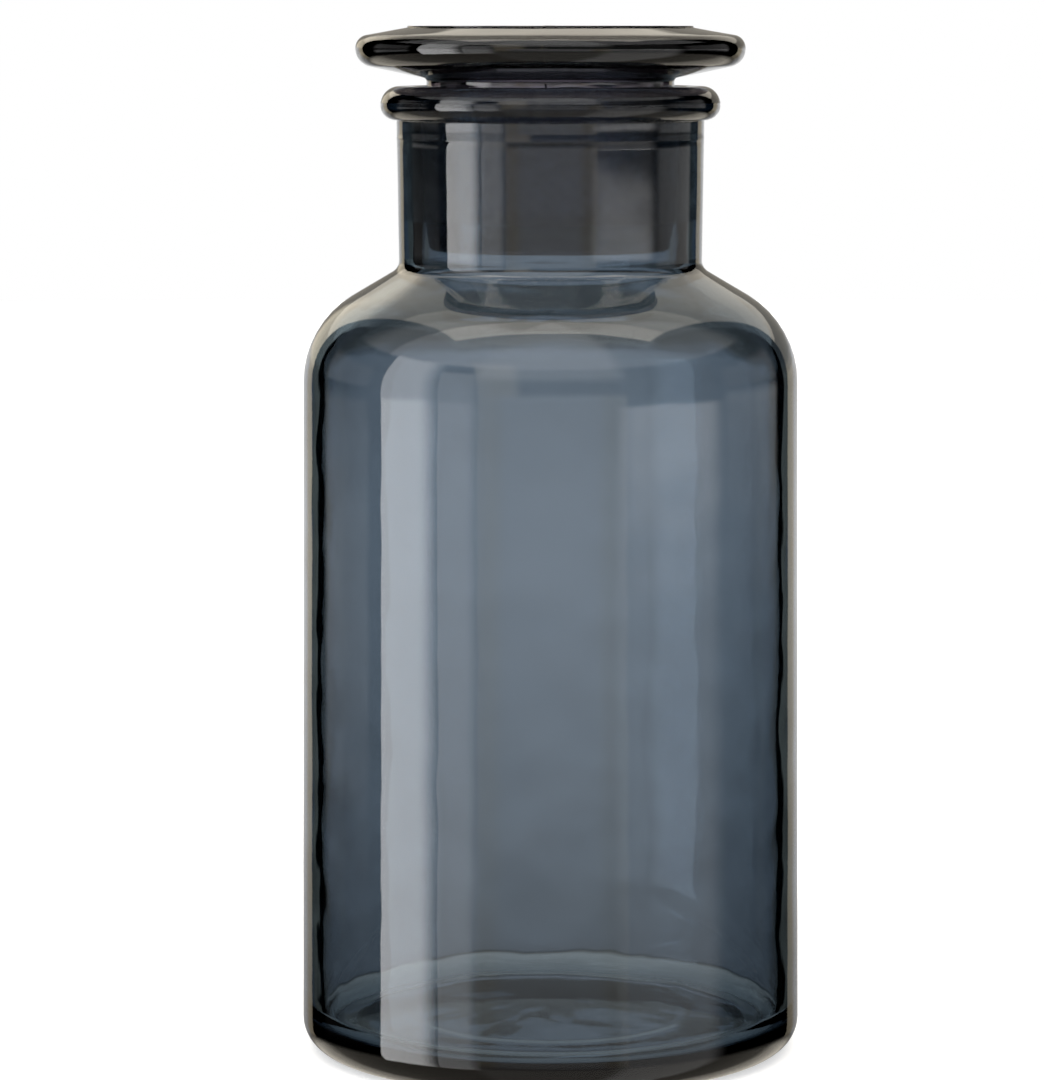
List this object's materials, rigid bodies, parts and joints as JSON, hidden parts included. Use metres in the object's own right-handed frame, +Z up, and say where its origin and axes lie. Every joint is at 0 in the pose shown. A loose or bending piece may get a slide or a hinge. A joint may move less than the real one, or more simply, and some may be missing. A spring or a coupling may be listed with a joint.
{
  "type": "apothecary jar",
  "caption": "Cylindrical wide-neck glass jar with a sloping shoulder, rolled lip and a hollow flat-headed glass stopper that lifts out.",
  "frame": {"origin": "centre of the foot ring, on the surface the jar stands on", "axes": "+Z up along the jar's axis, through the middle of the stopper; X and Y are equivalent"},
  "size_m": [0.1214, 0.1214, 0.25],
  "materials": {
    "jar_glass": "smoke-blue transparent glass, fire-polished",
    "stopper_glass": "smoke-grey transparent glass, the plug faintly matt where it seats"
  },
  "bodies": {
    "jar": {"jar_body": "jar_glass"},
    "stopper": {"stopper": "stopper_glass"}
  },
  "joints": [
    {"name": "stopper_lift", "type": "slide", "parent": "jar", "child": "stopper", "axis": [0, 0, 1], "range_m": [0, 0.075]}
  ]
}
